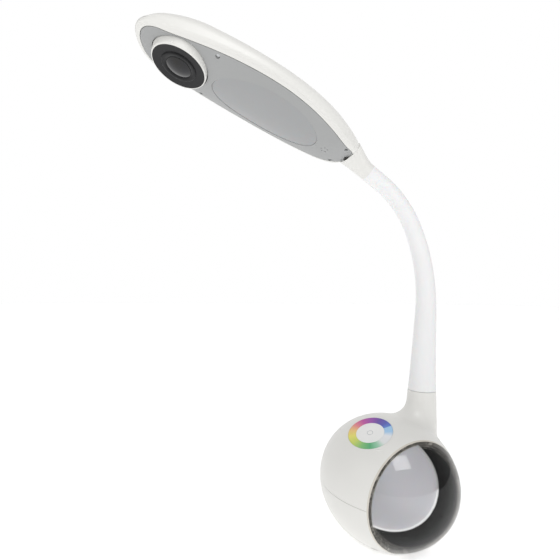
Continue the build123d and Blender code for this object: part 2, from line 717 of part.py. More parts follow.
def camera_window():
    radius = (WINDOW_R**2 + WINDOW_BULGE**2) / (2 * WINDOW_BULGE)
    fit = WINDOW_R - FIT / 4
    cap = Pos(0, 0, -RING_H - WINDOW_BULGE + radius) * Sphere(radius)
    return (cap & cylinder(fit, -FAR, -RING_H + BEZEL_T)) & cylinder(FAR, -FAR, -RING_H + BEZEL_T)


def camera_mount():
    """The fixed carrier that the focus ring turns on."""
    low = RING_IN_N + RUN
    body = cylinder(MOUNT_PLATE_R, low, low + MOUNT_T)
    body += cylinder(RING_R - RING_WALL - RUN, -1, low)
    body -= cylinder(RING_R - RING_WALL - RUN - 2, -2, low - 1.5)
    return body - cylinder(BARREL_R + RUN, -3, FAR)


def lens_barrel():
    low = -RING_H + BEZEL_T + BARREL_TRAVEL + 0.3
    body = cylinder(BARREL_R, low, low + BARREL_L)
    return body - cylinder(BARREL_R - 2, low - 1, low + 1.5) - cylinder(3, 0, FAR)


def camera_lens():
    low = -RING_H + BEZEL_T + BARREL_TRAVEL + 0.3
    disc = cylinder(BARREL_R - 2 - FIT / 4, low, low + 1.5)
    return disc & (Pos(0, 0, low + 9) * Sphere(9))


def sensor_z():
    return -RING_H + BEZEL_T + 2 * BARREL_TRAVEL + 0.8 + BARREL_L


def camera_board():
    low = sensor_z() + 1.0
    return Pos(0, 0, low + 0.6) * Box(CAMERA_BOARD, CAMERA_BOARD, 1.2)


def image_sensor():
    return Pos(0, 0, sensor_z() + 0.5) * Box(SENSOR, SENSOR, 1.0)


def camera_board_screws():
    """Two screws that carry the camera board on the mount."""
    low, high = RING_IN_N + RUN + MOUNT_T, sensor_z() + 1.0
    return group(cylinder(1.2, low, high, side * 9.5, side * 9.5) for side in (-1, 1))


# ---------- all nodes ----------
ROW_NODES = (
    base_upper_shell, base_lower_shell, foot_ring, ballast_weight, ballast_screws, shell_screws,
    touch_ring, touch_disc, touch_board, main_board, board_standoffs, board_screws,
    board_connectors, usb_socket, touch_cable, nightlight_cable, neck_cable, dome_rim, dome_cover,
    dome_diffuser, nightlight_tray, nightlight_board, nightlight_leds, neck_anchor, anchor_screws,
    head_ferrule, head_collar, head_top_cover, head_bottom_cover,
)
HEAD_NODES = (
    light_panel, light_board, light_leds, head_screws, microphone, camera_ring, camera_bezel,
    camera_window, camera_mount, lens_barrel, camera_lens,
    camera_board, image_sensor, camera_board_screws,
)


def main():
    os.makedirs("parts", exist_ok=True)
    shapes = {make.__name__: make() for make in ROW_NODES}
    for make in HEAD_NODES:
        shapes[make.__name__] = head_plane() * make()
    for i in range(LINKS):
        shapes[f"neck_hose_{i + 1}"] = neck_hose(i)
        shapes[f"neck_sleeve_{i + 1}"] = neck_sleeve(i)
    for name, shape in shapes.items():
        export_step(shape, f"parts/{name}.step")


if __name__ == "__main__":
    main()
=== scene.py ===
import json
from math import asin, atan2, cos, pi, radians, sin, sqrt

import bmesh
import bpy
from bpy.props import FloatProperty, IntProperty, PointerProperty
from bpy.types import Operator, Panel, PropertyGroup
from mathutils import Matrix, Vector


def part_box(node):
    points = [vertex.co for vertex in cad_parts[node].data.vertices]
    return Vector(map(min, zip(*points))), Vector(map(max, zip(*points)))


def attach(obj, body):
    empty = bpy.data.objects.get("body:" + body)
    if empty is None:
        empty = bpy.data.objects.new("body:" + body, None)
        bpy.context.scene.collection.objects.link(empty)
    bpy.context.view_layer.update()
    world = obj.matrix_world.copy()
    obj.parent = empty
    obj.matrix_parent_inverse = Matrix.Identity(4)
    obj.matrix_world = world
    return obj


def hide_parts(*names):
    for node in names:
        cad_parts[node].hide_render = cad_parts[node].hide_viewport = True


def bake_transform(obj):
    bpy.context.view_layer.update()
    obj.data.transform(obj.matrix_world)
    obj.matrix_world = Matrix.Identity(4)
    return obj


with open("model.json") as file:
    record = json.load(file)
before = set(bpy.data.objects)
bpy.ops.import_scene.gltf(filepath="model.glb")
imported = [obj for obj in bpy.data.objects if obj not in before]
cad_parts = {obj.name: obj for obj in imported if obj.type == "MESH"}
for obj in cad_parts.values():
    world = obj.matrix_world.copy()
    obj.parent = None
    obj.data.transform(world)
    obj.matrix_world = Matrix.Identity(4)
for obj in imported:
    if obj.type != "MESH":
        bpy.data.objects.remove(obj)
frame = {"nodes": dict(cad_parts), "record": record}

bl_info = {
    "name": "Document camera",
    "version": (1, 0, 0),
    "blender": (4, 5, 0),
    "location": "View3D > Sidebar > Document camera",
    "description": "Builds the visible pieces of a desk document camera on its frame",
    "category": "Object",
}

MM = 0.001
X = Vector((1, 0, 0))
JOINTS = {joint["name"]: joint for joint in frame["record"]["behaviour"]["joints"]}
BENDS = [joint for name, joint in JOINTS.items() if name.startswith("neck_")]
BEND_PLACES = [Vector(joint["pos_m"]) for joint in BENDS]

# The head's own frame: u to the tip, w to +X, n up from the underside, in millimetres.
HEAD_ORIGIN = Vector(JOINTS["focus_ring_turn"]["pos_m"])
HEAD_DOWN = Vector(JOINTS["focus_ring_turn"]["axis"]).normalized()
HEAD_UP = -HEAD_DOWN
HEAD_TIP = HEAD_DOWN.cross(X).normalized()

TIP_U, TIP_R = 10.5, 21.5
TAIL_U, TAIL_R = -130.0, 17.0
WIDE_U, WIDE_HALF = -62.0, 32.0
CROWN_DROP, CROWN_R = 4.0, 75.0
CROWN_TIP_U, CROWN_TIP_R = -6.0, 130.0
CROWN_TAIL_U, CROWN_TAIL_R = -112.0, 110.0
TOP_TIP_U, TOP_TIP_R = -10.0, 75.0
TOP_TAIL_U, TOP_TAIL_R = -90.0, 320.0
LEAST_HEIGHT = 3.2  # thickness of the head at its tip
PLATE_STEP = 3.0  # distance between the cuts that let the plate curve

# The neck's upper end and the collar that joins it to the head, in millimetres.
NECK_END_WAY = Vector((0, -sin(radians(62)), cos(radians(62))))
NECK_END_UP = Vector((0, cos(radians(62)), sin(radians(62))))
COLLAR_START, COLLAR_END = 1.7, 24.0
COLLAR_HALF_W, COLLAR_HALF_N, COLLAR_LIFT = 12.7, 7.2, 2.5
COLLAR_START_R, COLLAR_BORE_R = 6.6, 4.45
SEAM = 0.2
STUB_GAP = 0.3  # between the stub's top and the sleeve
LINK_REACH = 27.0  # how far the neck's curve is carried past its end bends
BLEND_INSET = 0.04  # share of a piece's length measured in from each end; the points it gives are not used
AROUND = 72

# The focus ring and its face, in millimetres.
RING_WALL, RING_TAPER, RING_EDGE, RING_TOP = 2.4, 0.4, 0.9, 4.0
BEZEL_STEP, BEZEL_DEPTH, WINDOW_BULGE = 0.9, 1.6, 2.2
GRIP_TURN, GRIP_HALF, GRIP_DEPTH, GRIP_ARC = 66, 0.8, 0.9, 12

# The touch control leans from upright and is turned from -Y towards +X, in degrees.
TOUCH_TILT, TOUCH_TURN = 28.5, 15

VIEW_PLACE = (0.25506, -0.23624, 0.21601)
VIEW_RIGHT = Vector((0.3502, 0.9366, 0.006)).normalized()
VIEW_FORWARD = Vector((-0.9329, 0.3494, -0.0874)).normalized()
ROOM_LIGHT = 0.5


# ---------- settings ----------
class DOCCAM_PG_neck(PropertyGroup):
    """Sizes of the neck's silicone sleeve"""

    end_radius: FloatProperty(
        name="End radius", description="Radius at the head", default=0.0066, unit="LENGTH"
    )
    swell: FloatProperty(
        name="Swell", description="How much wider the foot is", default=0.0054, unit="LENGTH"
    )
    power: FloatProperty(
        name="Taper", description="How soon the sleeve gets slim", default=2.2
    )
    bore: FloatProperty(
        name="Bore radius", description="Room for the hose", default=0.0046, unit="LENGTH"
    )
    around: IntProperty(name="Around", description="Faces round the sleeve", default=72)
    rings: IntProperty(name="Rings", description="Rings along each piece", default=14)


class DOCCAM_PG_head(PropertyGroup):
    """Sizes of the head's shells"""

    top: FloatProperty(
        name="Top", description="Height over the edge plane", default=0.015, unit="LENGTH"
    )
    fillet: FloatProperty(
        name="Shoulder", description="Rounding of the top's edge", default=0.0095, unit="LENGTH"
    )
    wall: FloatProperty(name="Wall", description="Moulded wall", default=0.002, unit="LENGTH")
    roll: FloatProperty(
        name="Roll", description="Rounding of the lower edge", default=0.0014, unit="LENGTH"
    )
    lip: FloatProperty(
        name="Lip", description="Shell seen from below", default=0.0036, unit="LENGTH"
    )


class DOCCAM_PG_camera(PropertyGroup):
    """Sizes of the focus ring and its face"""

    ring_radius: FloatProperty(
        name="Ring radius", description="Outside of the ring", default=0.0194, unit="LENGTH"
    )
    ring_height: FloatProperty(
        name="Ring height", description="Under the edge plane", default=0.0062, unit="LENGTH"
    )
    window_radius: FloatProperty(
        name="Window radius", description="Middle glass", default=0.0085, unit="LENGTH"
    )


class DOCCAM_PG_stage(PropertyGroup):
    """Floor, lights and camera"""

    lens: FloatProperty(name="Lens", description="Focal length in mm", default=23.19)
    shift_x: FloatProperty(name="Shift X", description="Sideways framing", default=0.0626)
    shift_y: FloatProperty(name="Shift Y", description="Upward framing", default=0.0894)
    floor: FloatProperty(
        name="Floor", description="Width of the floor", default=30.0, unit="LENGTH"
    )


# ---------- meshes ----------
def mesh_piece(name, build, slot, *materials):
    """A piece from a function that fills a bmesh; its faces are smooth, its creases sharp."""
    mesh = bpy.data.meshes.new(name)
    bm = bmesh.new()
    build(bm)
    bmesh.ops.recalc_face_normals(bm, faces=bm.faces)
    for face in bm.faces:
        face.smooth = True
    for edge in bm.edges:
        if len(edge.link_faces) == 2 and edge.calc_face_angle() > radians(38):
            edge.smooth = False
    bm.to_mesh(mesh)
    bm.free()
    piece = bpy.data.objects.new(name, mesh)
    bpy.context.scene.collection.objects.link(piece)
    for material in materials:
        mesh.materials.append(material)
    return piece


def ring_of(bm, points):
    return [bm.verts.new(point) for point in points]


def bridge(bm, lower, upper):
    """Quads between two closed rings of the same count."""
    count = len(lower)
    for i in range(count):
        j = (i + 1) % count
        bm.faces.new((lower[i], lower[j], upper[j], upper[i]))


def bridge_all(bm, rings):
    for lower, upper in zip(rings, rings[1:]):
        bridge(bm, lower, upper)


def head_point(u, w, n):
    return HEAD_ORIGIN + (HEAD_TIP * u + X * w + HEAD_UP * n) * MM


def lathe(bm, profile, count, closed=True):
    """Turns (radius, height) pairs round the camera's axis; a zero radius closes to a point."""
    rings = []
    for radius, height in profile:
        if radius < 1e-6:
            rings.append(bm.verts.new(head_point(0, 0, height)))
            continue
        turns = [2 * pi * i / count for i in range(count)]
        rings.append(
            ring_of(bm, [head_point(radius * cos(a), radius * sin(a), height) for a in turns])
        )
    pairs = list(zip(rings, rings[1:])) + ([(rings[-1], rings[0])] if closed else [])
    for lower, upper in pairs:
        if isinstance(lower, list) and isinstance(upper, list):
            bridge(bm, lower, upper)
            continue
        ring, point = (lower, upper) if isinstance(lower, list) else (upper, lower)
        for i in range(count):
            bm.faces.new((ring[i], ring[(i + 1) % count], point))


def arc_points(centre_r, centre_n, radius, start, end, steps):
    """Profile points on an arc, in degrees from the outward direction."""
    angles = [radians(start + (end - start) * i / steps) for i in range(steps + 1)]
    return [(centre_r + radius * cos(a), centre_n + radius * sin(a)) for a in angles]


def ease(t):
    return t * t * (3 - 2 * t)


# ---------- neck ----------
def spline(points, i, t):
    """A point on the smooth curve between two of its points."""
    a, b, c, d = (points[max(0, min(k, len(points) - 1))] for k in (i - 1, i, i + 1, i + 2))
    return 0.5 * (
        2 * b + (c - a) * t + (2 * a - 5 * b + 4 * c - d) * t * t + (3 * b - a - 3 * c + d) * t**3
    )


def sleeve_radius(settings, share):
    return settings.end_radius + settings.swell * (1 - min(max(share, 0), 1)) ** settings.power


def neck_centre(share):
    """Middle of the sleeve at a share of the way from the first bend to the last."""
    points = [BEND_PLACES[0] - Vector((0, 0, LINK_REACH * MM)), *BEND_PLACES]
    points.append(BEND_PLACES[-1] + NECK_END_WAY * LINK_REACH * MM)
    place = share * (len(BEND_PLACES) - 1) + 1
    i = min(max(int(place), 1), len(points) - 3)
    return spline(points, i, place - i)


def neck_span(k):
    """The shares where a sleeve piece starts and ends; it crosses bend k."""
    count = len(BEND_PLACES) - 1
    link = (BEND_PLACES[1] - BEND_PLACES[0]).length
    _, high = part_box("base_upper_shell")
    low, top = (k - 0.5) / count, (k + 0.5) / count
    if k == 0:
        low = (high[2] + STUB_GAP * MM - BEND_PLACES[0].z) / link / count
    if k == count:
        top = 1 + COLLAR_START * MM / link / count
    return low, top


def build_sleeve(bm, settings, k):
    """A tube with a wall: outside up, inside down."""
    low, top = neck_span(k)
    outer, inner = [], []
    for i in range(settings.rings + 1):
        share = low + (top - low) * i / settings.rings
        centre = neck_centre(share)
        way = (neck_centre(share + 0.002) - neck_centre(share - 0.002)).normalized()
        side = way.cross(X).normalized()
        for rings, radius in ((outer, sleeve_radius(settings, share)), (inner, settings.bore)):
            turns = [2 * pi * j / settings.around for j in range(settings.around)]
            rings.append(
                ring_of(bm, [centre + (X * cos(a) + side * sin(a)) * radius for a in turns])
            )
    bridge_all(bm, outer)
    bridge_all(bm, inner)
    bridge(bm, outer[0], inner[0])
    bridge(bm, outer[-1], inner[-1])


class DOCCAM_OT_neck(Operator):
    """Nine sleeve pieces, each laid along the neck's curve across one joint"""

    bl_idname = "doccam.neck"
    bl_label = "Neck sleeve"

    def execute(self, context):
        settings = context.scene.doccam_neck
        for k in range(len(BENDS)):
            material = finish("white_sleeve")
            piece = mesh_piece(
                f"sleeve_{k}", lambda bm: build_sleeve(bm, settings, k), "white_sleeve", material
            )
            low, top = neck_span(k)
            start, end = neck_centre(low), neck_centre(top)
            inset = (end - start) * BLEND_INSET
            start + inset
            end - inset
            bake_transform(piece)
            if k:
                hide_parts(f"neck_sleeve_{k}")
        return {"FINISHED"}


def build_collar(bm):
    """Grows smoothly out of the sleeve into the oval end of the head."""
    base = BEND_PLACES[-1]
    outer, inner = [], []
    steps = 20
    turns = [2 * pi * j / AROUND for j in range(AROUND)]
    for i in range(steps + 1):
        t = i / steps
        along = COLLAR_START + (COLLAR_END - COLLAR_START) * t
        grow = ease(t) * 0.55 + t * t * 0.45
        half_w = COLLAR_START_R + (COLLAR_HALF_W - COLLAR_START_R) * grow
        half_n = COLLAR_START_R + (COLLAR_HALF_N - COLLAR_START_R) * grow
        centre = base + (NECK_END_WAY * along + NECK_END_UP * COLLAR_LIFT * grow) * MM
        outer.append(ring_of(bm, [
            centre + (X * cos(a) * half_w + NECK_END_UP * sin(a) * half_n) * MM for a in turns
        ]))
        bore = base + NECK_END_WAY * along * MM
        inner.append(ring_of(bm, [
            bore + (X * cos(a) + NECK_END_UP * sin(a)) * COLLAR_BORE_R * MM for a in turns
        ]))
    bridge_all(bm, outer)
    bridge_all(bm, inner)
    bridge(bm, outer[0], inner[0])
    bridge(bm, outer[-1], inner[-1])


class DOCCAM_OT_collar(Operator):
    """The socket between the neck and the head"""

    bl_idname = "doccam.collar"
    bl_label = "Collar"

    def execute(self, context):
        piece = mesh_piece("collar", build_collar, "white_shell", finish("white_shell"))
        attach(piece, "head")
        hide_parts("head_collar")
        return {"FINISHED"}


# ---------- head shells ----------
def underside(u, w):
    """Height of the underside: blended into its ends, and with the frame's crease."""
    rise = CROWN_R - sqrt(CROWN_R**2 - w * w)
    end = 0.0
    if u > CROWN_TIP_U:
        end = CROWN_TIP_R - sqrt(CROWN_TIP_R**2 - (u - CROWN_TIP_U) ** 2)
    if u < CROWN_TAIL_U:
        end = CROWN_TAIL_R - sqrt(CROWN_TAIL_R**2 - (u - CROWN_TAIL_U) ** 2)
    return sqrt(rise * rise + end * end) - CROWN_DROP, max(rise, end) - CROWN_DROP


def top_drop(u):
    """How far the top has fallen away towards an end."""
    if u > TOP_TIP_U:
        return TOP_TIP_R - sqrt(TOP_TIP_R**2 - (u - TOP_TIP_U) ** 2)
    if u < TOP_TAIL_U:
        return TOP_TAIL_R - sqrt(TOP_TAIL_R**2 - (u - TOP_TAIL_U) ** 2)
    return 0.0


def half_outline():
    """(u, w, outward u, outward w) from the tip round one side to the tail."""
    samples = []

    def sweep(centre, radius, start, end, steps, skip):
        for i in range(skip, steps + 1):
            a = start + (end - start) * i / steps
            samples.append((
                centre[0] + radius * cos(a), centre[1] + radius * sin(a), cos(a), sin(a)
            ))

    arcs = []
    for end_u, end_r in ((TIP_U, TIP_R), (TAIL_U, TAIL_R)):
        big = ((end_u - WIDE_U) ** 2 / (WIDE_HALF - end_r) + end_r + WIDE_HALF) / 2
        centre = (WIDE_U, WIDE_HALF - big)
        arcs.append((centre, big, atan2(-centre[1], end_u - centre[0])))
    (tip_c, tip_big, tip_a), (tail_c, tail_big, tail_a) = arcs
    sweep((TIP_U, 0), TIP_R, 0, tip_a, 28, 0)
    sweep(tip_c, tip_big, tip_a, pi / 2, 48, 1)
    sweep(tail_c, tail_big, pi / 2, tail_a, 44, 1)
    sweep((TAIL_U, 0), TAIL_R, tail_a, pi, 20, 1)
    return samples


def shell_point(settings, sample, inset, kind, value):
    """A point of the shell's section at one sample of the outline."""
    top, fillet, wall = settings.top / MM, settings.fillet / MM, settings.wall / MM
    u0, w0, out_u, out_w = sample
    u, w = u0 - out_u * inset, w0 - out_w * inset
    edge = underside(u0, w0)[0]
    room = max(top - top_drop(u) - edge, LEAST_HEIGHT)
    thin = min(wall, room / 3)
    if kind == "outside":
        rise = (top - fillet + value * fillet - edge) / (top - edge)
        return head_point(u, w, edge + room * rise)
    if kind == "inside":
        rise = (top - fillet + value * (fillet - wall) - edge) / (top - wall - edge)
        return head_point(u, w, edge + (room - thin) * rise)
    if kind == "edge":
        return head_point(u, w, edge + min(value, room * 0.5))
    return head_point(u, w, underside(u, w)[0] + min(value, thin))


def quarter(steps, first=0):
    """(cosine, sine) pairs over a quarter turn."""
    turns = [pi / 2 * i / steps for i in range(first, steps + 1)]
    return [(cos(a), sin(a)) for a in turns]


def shell_rows(settings):
    """(inset, kind, value) of each ring, from the top over the edge and lip to the ceiling."""
    fillet, wall = settings.fillet / MM, settings.wall / MM
    roll, lip = settings.roll / MM, settings.lip / MM
    rows = [(fillet * (1 - s), "outside", c) for c, s in quarter(12)]
    rows += [(0.0, "edge", roll * 1.6), (0.0, "edge", roll)]
    rows += [(roll * (1 - c), "edge", roll * (1 - s)) for c, s in quarter(5, 1)]
    rows += [(roll + (lip - roll) * i / 3, "lip", 0.0) for i in range(1, 4)]
    rows += [(lip, "lip", wall), (wall, "lip", wall)]
    return rows + [(wall + (fillet - wall) * (1 - c), "inside", s) for c, s in quarter(8)]


def build_top_shell(bm, settings):
    """The upper shell: outside, rolled edge, lip, and the inside with its ceiling."""
    half = half_outline()
    loop = half + [(u, -w, out_u, -out_w) for u, w, out_u, out_w in half[-2:0:-1]]
    rings = [
        ring_of(bm, [shell_point(settings, sample, *row) for sample in loop])
        for row in shell_rows(settings)
    ]
    bridge_all(bm, rings)
    for ring in (rings[0], rings[-1]):
        fill_across(bm, ring, len(half))
    cut_tail(bm)


def fill_across(bm, ring, half_count):
    """Strips between the two sides of a ring that is symmetric about the head's middle."""
    count, parts = len(ring), 10
    rows = []
    for k in range(half_count):
        right, left = ring[k], ring[-k % count]
        if right is left:
            rows.append([right])
            continue
        inner = [bm.verts.new(right.co.lerp(left.co, j / parts)) for j in range(1, parts)]
        rows.append([right, *inner, left])
    for a, b in zip(rows, rows[1:]):
        if len(a) == 1 or len(b) == 1:
            point, row = (a[0], b) if len(a) == 1 else (b[0], a)
            for p, q in zip(row, row[1:]):
                bm.faces.new((p, q, point))
            continue
        for (p, q), (r, s) in zip(zip(a, a[1:]), zip(b, b[1:])):
            bm.faces.new((p, q, s, r))


def cut_tail(bm):
    """Takes off what lies behind the collar's face and closes the cut."""
    face_place = BEND_PLACES[-1] + NECK_END_WAY * (COLLAR_END + SEAM) * MM
    geometry = [*bm.verts, *bm.edges, *bm.faces]
    bmesh.ops.bisect_plane(
        bm, geom=geometry, dist=1e-7, plane_co=face_place, plane_no=NECK_END_WAY,
        clear_inner=True,
    )
    border = [edge for edge in bm.edges if edge.is_boundary]
    bmesh.ops.edgeloop_fill(bm, edges=border)


class DOCCAM_OT_top_shell(Operator):
    """The head's upper shell"""

    bl_idname = "doccam.top_shell"
    bl_label = "Head shell"

    def execute(self, context):
        settings = context.scene.doccam_head
        piece = mesh_piece(
            "head_shell", lambda bm: build_top_shell(bm, settings), "white_shell",
            finish("white_shell"),
        )
        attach(piece, "head")
        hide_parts("head_top_cover")
        return {"FINISHED"}


def build_plate(bm):
    """The underside's plate: the frame's own, with its ends blended into its crown."""
    bm.from_mesh(frame["nodes"]["head_bottom_cover"].data)
    bmesh.ops.remove_doubles(bm, verts=bm.verts, dist=1e-7)
    for axis, low, high in ((HEAD_TIP, -145.0, 30.0), (X, -30.0, 30.0)):
        for i in range(int((high - low) / PLATE_STEP) + 1):
            bmesh.ops.bisect_plane(
                bm, geom=[*bm.verts, *bm.edges, *bm.faces], dist=1e-7,
                plane_co=HEAD_ORIGIN + axis * (low + i * PLATE_STEP) * MM, plane_no=axis,
            )
    for vert in bm.verts:
        local = (vert.co - HEAD_ORIGIN) / MM
        smooth, creased = underside(local.dot(HEAD_TIP), local.dot(X))
        vert.co += HEAD_UP * (smooth - creased) * MM


class DOCCAM_OT_plate(Operator):
    """The head's lower shell"""

    bl_idname = "doccam.plate"
    bl_label = "Head plate"

    def execute(self, context):
        piece = mesh_piece("head_plate", build_plate, "head_underside", finish("head_underside"))
        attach(piece, "head")
        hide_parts("head_bottom_cover")
        return {"FINISHED"}


# ---------- camera ----------
def build_focus_ring(bm, settings):
    """A collar with rounded edges and two grip ridges."""
    radius, height = settings.ring_radius / MM, settings.ring_height / MM
    inside, face, low = radius - RING_WALL, radius - 0.8, -height
    middle = radius - RING_TAPER - RING_EDGE
    profile = arc_points(middle, low + RING_EDGE, RING_EDGE, 0, -90, 6)
    profile += [(face, low), (face, low + BEZEL_DEPTH), (inside, low + BEZEL_DEPTH)]
    profile += [(inside, RING_TOP), (radius, RING_TOP), (radius, 0.0)]
    lathe(bm, profile, 128)
    for side in (0, pi):
        build_grip(bm, radians(GRIP_TURN) + side, radius, low)


def build_grip(bm, turn, radius, low):
    """A short ridge with rounded corners, sunk a little into the ring."""
    out = Vector((cos(turn), sin(turn)))
    along = Vector((-out.y, out.x))
    rings = []
    for height, shrink in ((low + 0.3, 0.35), (low + 0.6, 0.0), (-4.9, 0.0), (-4.6, 0.35)):
        side = along * (GRIP_HALF - shrink)
        ring = []
        for i in range(GRIP_ARC):
            a = pi * i / (GRIP_ARC - 1)
            reach = radius - 0.5 + (GRIP_DEPTH + 0.4 - shrink) * sin(a)
            ring.append(head_point(*(out * reach + side * cos(a)), height))
        root = out * (radius - 1.0)
        ring += [head_point(*(root - side), height), head_point(*(root + side), height)]
        rings.append(ring_of(bm, ring))
    bridge_all(bm, rings)
    bm.faces.new(rings[0])
    bm.faces.new(rings[-1])


def build_bezel(bm, settings):
    """A glossy face that dips towards the window, with a raised ring round it."""
    outer = settings.ring_radius / MM - BEZEL_STEP
    window, low = settings.window_radius / MM, -settings.ring_height / MM
    profile = [(outer, low + 1.5), (outer, low + 0.25), (outer - 0.25, low + 0.05)]
    profile += [(window + 3.6, low + 0.35)]
    profile += arc_points(window + 3.0, low + 0.2, 0.5, 0, -90, 4)
    profile += [(window + 0.6, low - 0.25), (window + 0.15, low + 0.1), (window + 0.1, low + 1.5)]
    lathe(bm, profile, 128)


def build_window(bm, settings):
    """The domed front glass."""
    radius, low = settings.window_radius / MM, -settings.ring_height / MM
    ball = (radius**2 + WINDOW_BULGE**2) / (2 * WINDOW_BULGE)
    reach = asin(radius / ball)
    bottom = low - WINDOW_BULGE
    rim = [
        (ball * sin(reach * i / 14), bottom + ball * (1 - cos(reach * i / 14))) for i in range(15)
    ]
    lathe(bm, [*rim, (radius, low + 1.4), (0, low + 1.4)], 96, closed=False)


class DOCCAM_OT_camera(Operator):
    """The focus ring, its black face and the front glass"""

    bl_idname = "doccam.camera"
    bl_label = "Camera"

    def execute(self, context):
        settings = context.scene.doccam_camera
        for name, build, slot, node in (
            ("focus_collar", build_focus_ring, "white_shell", "camera_ring"),
            ("camera_face", build_bezel, "black_gloss", "camera_bezel"),
            ("front_glass", build_window, "lens_glass", "camera_window"),
        ):
            piece = mesh_piece(name, lambda bm: build(bm, settings), slot, finish(slot))
            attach(piece, "focus_ring")
            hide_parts(node)
        return {"FINISHED"}


# ---------- finishes ----------
class Value:
    """A shader value that takes part in arithmetic; each step adds one Math node."""

    def __init__(self, tree, socket):
        self.tree, self.socket = tree, socket

    def step(self, operation, *values):
        node = self.tree.nodes.new("ShaderNodeMath")
        node.operation = operation
        for socket, value in zip(node.inputs, values):
            connect(self.tree, socket, value)
        return Value(self.tree, node.outputs[0])

    def __add__(self, other):
        return self.step("ADD", self, other)

    def __sub__(self, other):
        return self.step("SUBTRACT", self, other)

    def __mul__(self, other):
        return self.step("MULTIPLY", self, other)

    def __truediv__(self, other):
        return self.step("DIVIDE", self, other)

    def __radd__(self, other):
        return self.step("ADD", other, self)

    def __rsub__(self, other):
        return self.step("SUBTRACT", other, self)

    def __rmul__(self, other):
        return self.step("MULTIPLY", other, self)

    def __lt__(self, other):
        return self.step("LESS_THAN", self, other)

    def __gt__(self, other):
        return self.step("GREATER_THAN", self, other)


def connect(tree, socket, value):
    """A link from another value, or a constant."""
    if isinstance(value, Value):
        tree.links.new(value.socket, socket)
    else:
        socket.default_value = value


class Finish:
    """A material being made: its principled shader and the nodes that feed it."""

    def __init__(self, name):
        self.material = bpy.data.materials.new(name)
        self.material.use_nodes = True
        self.tree = self.material.node_tree
        self.shader = self.tree.nodes["Principled BSDF"]

    def node(self, kind, settings=None, inputs=None, output=0):
        """Adds a node: its settings first, then its sockets; gives one of its outputs."""
        node = self.tree.nodes.new(kind)
        for name, value in (settings or {}).items():
            setattr(node, name, value)
        for name, value in (inputs or {}).items():
            connect(self.tree, node.inputs[name], value)
        return Value(self.tree, node.outputs[output])

    def place(self):
        return self.node("ShaderNodeTexCoord", output="Object")

    def noise(self, size_mm, detail=2.0, stretch=None):
        """Cloudy noise with features of about one size."""
        place = self.place()
        if stretch:
            place = self.node(
                "ShaderNodeVectorMath", {"operation": "MULTIPLY"}, {0: place, 1: stretch}
            )
        return self.node(
            "ShaderNodeTexNoise", None,
            {"Vector": place, "Scale": 1 / (size_mm * MM), "Detail": detail}, "Fac",
        )

    def mix(self, factor, first, second):
        return self.node(
            "ShaderNodeMix", {"data_type": "RGBA"}, {"Factor": factor, 6: first, 7: second}, 2
        )

    def put(self, **values):
        """Sets or feeds the shader's sockets; an underscore stands for a space."""
        for name, value in values.items():
            connect(self.tree, self.shader.inputs[name.replace("_", " ")], value)

    def relief(self, height, depth_mm):
        bump = self.node(
            "ShaderNodeBump", None,
            {"Height": height, "Distance": depth_mm * MM, "Strength": 1.0}, "Normal",
        )
        self.put(Normal=bump)


def shade(colour, factor):
    return tuple(min(1.0, c * factor) for c in colour[:3]) + (1.0,)


def moulded(name, colour, roughness, grain=0.35, depth=0.012, cloud=0.04, rough_cloud=0.08,
            **constants):
    """Moulded or cast surface: faint clouding, uneven gloss and a fine grain."""
    made = Finish(name)
    clouds = made.noise(38.0, 3.0)
    fine = made.noise(grain, 3.0)
    made.put(
        Base_Color=made.mix(clouds, shade(colour, 1 - cloud), shade(colour, 1 + cloud)),
        Roughness=(made.noise(9.0, 4.0) - 0.5) * rough_cloud + roughness,
        **constants,
    )
    made.relief(fine, depth)
    return made


def colour_wheel(name):
    """The touch wheel: hue follows the angle round its middle."""
    made = Finish(name)
    low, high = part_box("touch_disc")
    centre = (Vector(low) + Vector(high)) / 2
    tilt, turn = radians(TOUCH_TILT), radians(TOUCH_TURN)
    out = Vector((sin(tilt) * sin(turn), -sin(tilt) * cos(turn), cos(tilt)))
    right = (VIEW_RIGHT - out * VIEW_RIGHT.dot(out)).normalized()
    up = out.cross(right)
    arm = made.node(
        "ShaderNodeVectorMath", {"operation": "SUBTRACT"}, {0: made.place(), 1: centre}
    )
    sides = [
        made.node("ShaderNodeVectorMath", {"operation": "DOT_PRODUCT"}, {0: arm, 1: axis}, "Value")
        for axis in (up, right)
    ]
    angle = sides[0].step("ARCTAN2", *sides) / (2 * pi)
    share = angle.step("FRACT", angle + 1.0)
    ramp = made.node("ShaderNodeValToRGB", None, {"Fac": share})
    elements = ramp.socket.node.color_ramp.elements
    stops = (
        (0.0, (0.10, 0.22, 0.62)), (0.05, (0.08, 0.10, 0.45)), (0.12, (0.13, 0.06, 0.36)),
        (0.19, (0.30, 0.06, 0.38)), (0.26, (0.50, 0.07, 0.33)), (0.33, (0.74, 0.22, 0.25)),
        (0.39, (0.80, 0.50, 0.20)), (0.47, (0.76, 0.70, 0.14)), (0.55, (0.55, 0.64, 0.12)),
        (0.63, (0.20, 0.50, 0.16)), (0.70, (0.08, 0.40, 0.17)), (0.76, (0.30, 0.58, 0.40)),
        (0.81, (0.72, 0.74, 0.74)), (0.89, (0.76, 0.77, 0.80)), (0.94, (0.34, 0.56, 0.80)),
    )
    while len(elements) < len(stops):
        elements.new(0.5)
    for element, (position, colour) in zip(elements, stops):
        element.position, element.color = position, (*colour, 1.0)
    grain = made.noise(0.5, 2.0)
    made.put(Base_Color=ramp, Roughness=0.32 + grain * 0.08, Coat_Weight=0.4, Coat_Roughness=0.1)
    made.relief(grain, 0.006)
    return made


